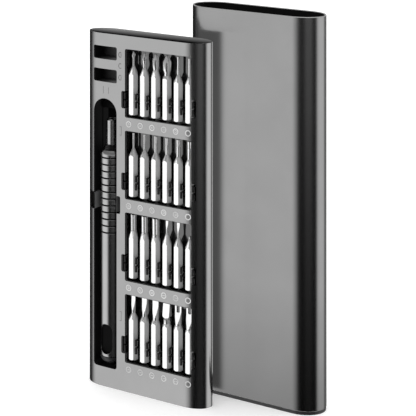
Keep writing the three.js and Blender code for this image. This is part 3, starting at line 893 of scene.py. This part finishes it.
# ---------------------------------------------------------------- CAD solids that stay as they are
LOOKS = {
    "tray_liner": LINER,
    "tray_bottom_plug": BLACK_MATTE,
    "bit_rack_1": RACK_BLACK,
    "bit_rack_2": RACK_BLACK,
    "bit_rack_3": RACK_BLACK,
    "bit_rack_4": RACK_BLACK,
    "pocket_magnet_lower": MAGNET,
    "pocket_magnet_upper": MAGNET,
    "strike_plate": PLATED,
    "sleeve_end_cap": BLACK_MATTE,
    "sleeve_front_guide": BLACK_MATTE,
    "sleeve_rear_guide": BLACK_MATTE,
    "latch_housing": BLACK_MATTE,
    "latch_plunger": BLACK_MATTE,
    "latch_magnet": MAGNET,
    "cap_pin": PLATED,
}
for name, material in LOOKS.items():
    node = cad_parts[name]
    node.data.materials.clear()
    paint(node, material)
for name in ("sleeve_front_guide", "sleeve_rear_guide", "latch_housing"):
    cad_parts[name].visible_glossy = False


# ---------------------------------------------------------------- stage
def floor():
    """A wide white floor that reflections don't see."""
    half, gap = 3000, 0.02
    corners = [(-half, -half, 0), (half, -half, 0), (half, half, 0), (-half, half, 0)]
    made = new_object("floor", corners, [(0, 1, 2, 3)])
    made.location.z = -gap * MM
    g = Graph("floor_white")
    tone = g.varied(g.noise(4, 2), 0.9, 0.92)
    glow = g.varied(g.noise(3, 2), 0.98, 1.0)
    g.finish(Base_Color=tone, Roughness=0.9, Specular_IOR_Level=0.1)
    paint(made, g.finish(Emission_Color=glow, Emission_Strength=0.2))
    made.visible_glossy = False


# What the metal mirrors: brightness against the compass angle from the front, positive to the
# right. The dark side holds a grey patch that fades out toward the ground.
BANDS = [
    (-180, 0.75),
    (-160, 0.75),
    (-147, 0.05),
    (-98, 0.03),
    (-87, 0.1),
    (-79, 0.5),
    (-72, 1.03),
    (-60, 1.33),
    (-25, 1.33),
    (-16, 0.87),
    (-9.5, 0.57),
    (-6.5, 0.32),
    (-2.5, 0.175),
    (1, 0.097),
    (8, 0.05),
    (17, 0.107),
    (27, 0.27),
    (43, 0.285),
    (49.5, 0.23),
    (55.5, 0.13),
    (62.5, 0.066),
    (68.5, 0.066),
    (77, 0.34),
    (85, 1.1),
    (100, 1.37),
    (126, 1.32),
    (138, 1.1),
    (148, 0.5),
    (158, 0.13),
    (167, 0.13),
    (175, 0.75),
    (180, 0.75),
]
PATCH = [(-12, 0), (0, 1), (68, 1), (80, 0)]
PATCH_FADE = [(0.17, 1.0), (0.28, 0.2), (0.345, 0.1)]
OVERHEAD = [(0.06, 0), (0.16, 1)]
CEILING = [(0.16, 0.75), (0.35, 0.3), (0.7, 0.3), (1, 0.6)]
BRIGHTEST = 1.4


def compass(stops, scale=1.0):
    """Stops against an angle, as stops of a ramp that runs once round the compass."""
    return [((degrees + 180) / 360, level / scale) for degrees, level in stops]


def studio_level(t, direction):
    """How bright the studio is in a direction, as the metal sees it."""
    x, y, z = (t.axis(direction, i) for i in range(3))
    angle = t.math("ARCTAN2", x, t.math("MULTIPLY", y, -1.0))
    share = t.math("ADD", t.math("DIVIDE", angle, 2 * math.pi), 0.5)
    around = t.math("MULTIPLY", t.ramp(share, compass(BANDS, BRIGHTEST)), BRIGHTEST)
    fade = t.ramp(t.math("MULTIPLY", z, -1.0), PATCH_FADE)
    around = t.math("MULTIPLY", around, t.blend(t.ramp(share, compass(PATCH)), 1.0, fade))
    return t.blend(t.ramp(z, OVERHEAD), around, t.ramp(z, CEILING))


def card():
    """A glowing card against the tray's back, seen only in reflections and only from behind.

    It paints the tray's reflection and a shadow into the sleeve's face: dark, and as bright as the
    studio past its edge.
    """
    left, right, back, top = -33, 38, 6.75, 163.5
    corners = [(left, back, 0), (right, back, 0), (right, back, top), (left, back, top)]
    made = new_object("card", corners, [(3, 2, 1, 0)])
    g = Graph("card_shade")
    # Painted shadow: dark near the tray, rising to the studio's brightness past its edge.
    stops = [(0.42, 0.2), (0.492, 0.21), (0.512, 0.28), (0.535, 0.6), (0.555, 0.86), (0.58, 1)]
    shade = g.ramp(g.along(0, 0, 50), stops)
    surface = g.nodes.new("ShaderNodeNewGeometry")
    outward_ray = g.nodes.new("ShaderNodeVectorMath")
    outward_ray.operation = "SCALE"
    g.set(outward_ray, 3, -1.0)
    g.links.new(surface.outputs["Incoming"], outward_ray.inputs[0])
    behind = g.math("MULTIPLY", studio_level(g, outward_ray.outputs[0]), shade)
    glow = g.add("ShaderNodeEmission", Color=behind)
    through = g.nodes.new("ShaderNodeBsdfTransparent")
    sides = g.mix(surface.outputs["Backfacing"], glow.outputs[0], through.outputs[0])
    g.links.new(sides, g.nodes["Material Output"].inputs["Surface"])
    paint(made, g.material)
    made.visible_camera = False
    made.visible_diffuse = False
    made.visible_shadow = False
    made.visible_transmission = False


def studio():
    """The world: metal mirrors the banded studio, and all else is lit by plain white."""
    world = bpy.data.worlds.new("studio")
    bpy.context.scene.world = world
    world.use_nodes = True
    world.cycles.sampling_method = "NONE"
    world.node_tree.nodes.clear()
    t = Tree(world.node_tree)
    level = studio_level(t, t.add("ShaderNodeTexCoord").outputs["Generated"])
    mirrored = t.add("ShaderNodeBackground", Color=level)
    plain = t.add("ShaderNodeBackground", Color=(1, 1, 1, 1), Strength=1.3)
    seen_in_mirror = t.add("ShaderNodeLightPath").outputs["Is Glossy Ray"]
    surface = t.mix(seen_in_mirror, plain.outputs[0], mirrored.outputs[0])
    t.links.new(surface, t.nodes.new("ShaderNodeOutputWorld").inputs["Surface"])


def camera():
    """A camera that keeps upright edges parallel: its picture plane is upright while it looks down."""
    eye = Vector((427.5, -621.8, 299.4)) * MM
    turn = math.radians(32.5)
    sensor, focal, drop = 36, 143.117308, 40.990673
    right = Vector((math.cos(turn), math.sin(turn), 0))
    ahead = Vector((-math.sin(turn), math.cos(turn), 0))
    sight = ahead * focal - Vector((0, 0, drop))
    back = -sight.normalized()
    shear = Matrix.Identity(4)
    for i, column in enumerate((right, Vector((0, 0, 1)), back, eye)):
        for j in range(3):
            shear[j][i] = column[j]
    data = bpy.data.cameras.new("camera")
    data.sensor_width = sensor
    data.lens = sight.length
    data.clip_start = 0.05
    data.clip_end = 20
    made = bpy.data.objects.new("camera", data)
    holder = bpy.data.objects.new("camera_holder", None)
    for obj in (made, holder):
        bpy.context.scene.collection.objects.link(obj)
    made.parent = holder
    made.matrix_parent_inverse = shear
    bpy.context.scene.camera = made


floor()
card()
studio()
camera()
bpy.context.scene.view_settings.view_transform = "Standard"
